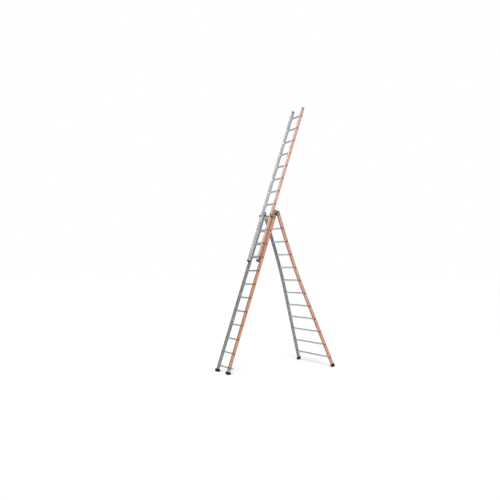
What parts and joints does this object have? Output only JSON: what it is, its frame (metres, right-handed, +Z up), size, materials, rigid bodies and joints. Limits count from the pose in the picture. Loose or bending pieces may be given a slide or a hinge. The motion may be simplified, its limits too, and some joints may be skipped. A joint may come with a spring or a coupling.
{
  "type": "combination extension ladder",
  "caption": "Three-section combination ladder standing as an A-frame: hinged flared rear leg section and a top section that slides up and hooks on the rungs.",
  "frame": {"origin": "on the floor, midway between the outer ends of the front and the rear shoes, on the ladder's middle plane", "axes": "+Z up, +X from the front section to the rear section, +Y along the rungs to the ladder's left"},
  "size_m": [2.3842, 1.185, 5.3523],
  "materials": {
    "extruded_aluminium": "mill finish, lightly brushed along the stiles and the rungs",
    "orange_strip": "satin orange",
    "shoe_rubber": "matte moulded black",
    "plug_plastic": "matte moulded black",
    "zinc_steel": "zinc plated, dull",
    "black_steel": "black passivated",
    "rivet_aluminium": "bright domed heads",
    "washer_nylon": "dark moulded",
    "latch_plastic": "moulded black",
    "spring_steel": "bright wire"
  },
  "bodies": {
    "front_section": {"front_end_plugs": "plug_plastic", "front_hook_left": "zinc_steel", "front_hook_right": "zinc_steel", "front_rivets": "rivet_aluminium", "front_rung_plugs": "plug_plastic", "front_rungs": "extruded_aluminium", "front_shoe_left": "shoe_rubber", "front_shoe_right": "shoe_rubber", "front_stile_left": "extruded_aluminium", "front_stile_right": "extruded_aluminium", "front_strip_left": "orange_strip", "front_strip_right": "orange_strip", "guide_bracket_left": "zinc_steel", "guide_bracket_right": "zinc_steel", "guide_pads": "plug_plastic", "hinge_bolt_left": "black_steel", "hinge_bolt_right": "black_steel", "hinge_nuts": "zinc_steel", "hinge_stop_pins": "black_steel", "hinge_washers": "washer_nylon"},
    "top_section": {"top_end_plug_left": "plug_plastic", "top_end_plug_right": "plug_plastic", "top_hook_left": "zinc_steel", "top_hook_right": "zinc_steel", "top_lower_caps": "plug_plastic", "top_rivets": "rivet_aluminium", "top_rung_plugs": "plug_plastic", "top_rungs": "extruded_aluminium", "top_stile_left": "extruded_aluminium", "top_stile_right": "extruded_aluminium", "top_strip_left": "orange_strip", "top_strip_right": "orange_strip", "latch_springs": "spring_steel"},
    "rear_section": {"hinge_plate_left": "black_steel", "hinge_plate_right": "black_steel", "rear_end_plugs": "plug_plastic", "rear_rivets": "rivet_aluminium", "rear_rung_1": "extruded_aluminium", "rear_rung_10": "extruded_aluminium", "rear_rung_11": "extruded_aluminium", "rear_rung_12": "extruded_aluminium", "rear_rung_2": "extruded_aluminium", "rear_rung_3": "extruded_aluminium", "rear_rung_4": "extruded_aluminium", "rear_rung_5": "extruded_aluminium", "rear_rung_6": "extruded_aluminium", "rear_rung_7": "extruded_aluminium", "rear_rung_8": "extruded_aluminium", "rear_rung_9": "extruded_aluminium", "rear_rung_plugs": "plug_plastic", "rear_shoe_left": "shoe_rubber", "rear_shoe_right": "shoe_rubber", "rear_stile_left": "extruded_aluminium", "rear_stile_right": "extruded_aluminium", "rear_strip_left": "orange_strip", "rear_strip_right": "orange_strip"},
    "left_latch": {"latch_left": "latch_plastic"},
    "right_latch": {"latch_right": "latch_plastic"}
  },
  "joints": [
    {"name": "rear_section_hinge", "type": "hinge", "parent": "front_section", "child": "rear_section", "pos_m": [-0.0483, 0, 3.10667], "axis": [0, 1, 0], "range_deg": [0, 39.69]},
    {"name": "top_section_slide", "type": "slide", "parent": "front_section", "child": "top_section", "axis": [0.333, 0, 0.9429], "range_m": [-2.24, 0]},
    {"name": "left_latch_pivot", "type": "hinge", "parent": "top_section", "child": "left_latch", "pos_m": [-0.39049, 0.183, 2.22777], "axis": [0, 1, 0], "range_deg": [0, 95], "stiffness_Nm_per_rad": 0.06, "springref_deg": -34.38},
    {"name": "right_latch_pivot", "type": "hinge", "parent": "top_section", "child": "right_latch", "pos_m": [-0.39049, -0.183, 2.22777], "axis": [0, 1, 0], "range_deg": [0, 95], "stiffness_Nm_per_rad": 0.06, "springref_deg": -34.38}
  ]
}
